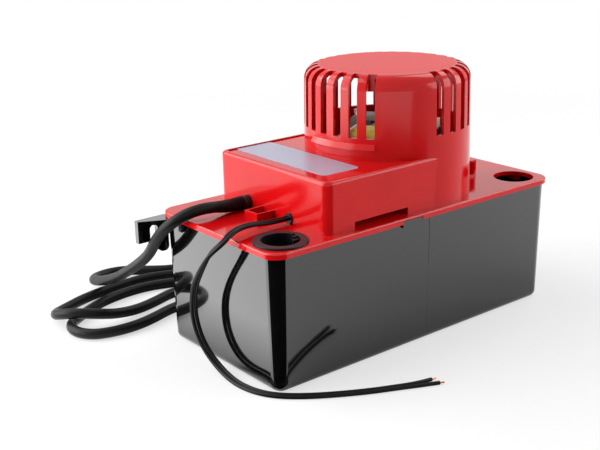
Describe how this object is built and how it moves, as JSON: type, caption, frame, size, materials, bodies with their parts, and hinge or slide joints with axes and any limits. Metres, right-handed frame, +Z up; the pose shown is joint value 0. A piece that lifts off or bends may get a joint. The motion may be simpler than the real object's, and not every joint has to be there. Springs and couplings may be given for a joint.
{
  "type": "condensate pump",
  "caption": "Tank-type condensate pump: open-topped tank under a deck with inlets, switch box, vented motor dome, float, impeller, check valve, supply cord and alarm lead.",
  "frame": {"origin": "centre of the underside of the tank, on the floor that the pump stands on", "axes": "+X along the tank towards the open inlet, +Y towards the side with the hanger ears, +Z up"},
  "size_m": [0.3272, 0.3111, 0.1806],
  "materials": {
    "black_plastic": "glossy black moulding",
    "red_plastic": "glossy red moulding",
    "rubber": "soft black rubber",
    "silver_film": "satin silver film",
    "bush_black": "matt black moulding",
    "laminations": "stacked steel laminations",
    "bobbin_white": "natural nylon",
    "coil_tape": "yellow insulating tape",
    "zinc": "cast grey alloy",
    "bronze": "sintered bronze",
    "steel": "plated steel",
    "copper": "bare copper",
    "navy_plastic": "dark moulding",
    "aluminium": "cast aluminium",
    "pale_plastic": "natural acetal",
    "hose_vinyl": "dark vinyl hose",
    "valve_plastic": "black glass-filled moulding",
    "float_foam": "closed-cell foam",
    "switch_black": "dark phenolic",
    "button_red": "red acetal",
    "brass_tabs": "stamped brass",
    "cord_black": "semi-matt black jacket",
    "tinned_copper": "tinned copper strands"
  },
  "bodies": {
    "housing": {"blank_plate": "silver_film", "bracket_screws": "steel", "check_valve_body": "valve_plastic", "coil_bobbin": "bobbin_white", "coil_winding": "coil_tape", "column_screws": "steel", "cord_bush": "bush_black", "cord_clip": "red_plastic", "cover_screws": "steel", "deck": "red_plastic", "discharge_barb": "valve_plastic", "inlet_grommet": "rubber", "lead_bush": "bush_black", "lead_tips": "tinned_copper", "lower_bracket": "zinc", "lower_bush": "bronze", "motor_cover": "red_plastic", "motor_screws": "steel", "plug_pins": "brass_tabs", "pump_column": "black_plastic", "pump_switch": "switch_black", "riser_hose": "hose_vinyl", "safety_lead_inner": "cord_black", "safety_lead_outer": "cord_black", "safety_switch": "switch_black", "shading_rings": "copper", "stator_stack": "laminations", "strainer": "black_plastic", "supply_cord": "cord_black", "supply_plug": "cord_black", "switch_bracket": "bush_black", "switch_screws": "steel", "switch_terminals": "brass_tabs", "tank": "black_plastic", "terminal_block": "navy_plastic", "terminal_cap": "bobbin_white", "upper_bracket": "zinc", "upper_bush": "bronze", "valve_gasket": "rubber", "valve_nut": "valve_plastic", "volute_casing": "black_plastic", "volute_screws": "steel"},
    "rotor": {"motor_shaft": "steel", "rotor_core": "laminations", "rotor_end_rings": "aluminium", "cooling_fan": "pale_plastic", "impeller": "pale_plastic"},
    "float": {"float_block": "float_foam", "float_rod": "pale_plastic"},
    "pump_plunger": {"pump_button": "button_red"},
    "safety_plunger": {"safety_button": "button_red"},
    "valve_ball": {"check_ball": "pale_plastic"}
  },
  "joints": [
    {"name": "rotor_spin", "type": "hinge", "parent": "housing", "child": "rotor", "pos_m": [0.0228, 0, 0], "axis": [0, 0, 1], "continuous": true},
    {"name": "float_rise", "type": "slide", "parent": "housing", "child": "float", "axis": [0, 0, 1], "range_m": [0, 0.018]},
    {"name": "pump_button_press", "type": "slide", "parent": "housing", "child": "pump_plunger", "axis": [0, -1, 0], "range_m": [0, 0.0016], "stiffness_N_per_m": 60},
    {"name": "safety_button_press", "type": "slide", "parent": "housing", "child": "safety_plunger", "axis": [0, 1, 0], "range_m": [0, 0.0016], "stiffness_N_per_m": 60},
    {"name": "check_ball_lift", "type": "slide", "parent": "housing", "child": "valve_ball", "axis": [0, 0, 1], "range_m": [0, 0.004]}
  ],
  "couplings": [
    {"joint": "pump_button_press", "follows": "float_rise", "ratio": 0.083333},
    {"joint": "safety_button_press", "follows": "float_rise", "ratio": 0.083333}
  ]
}
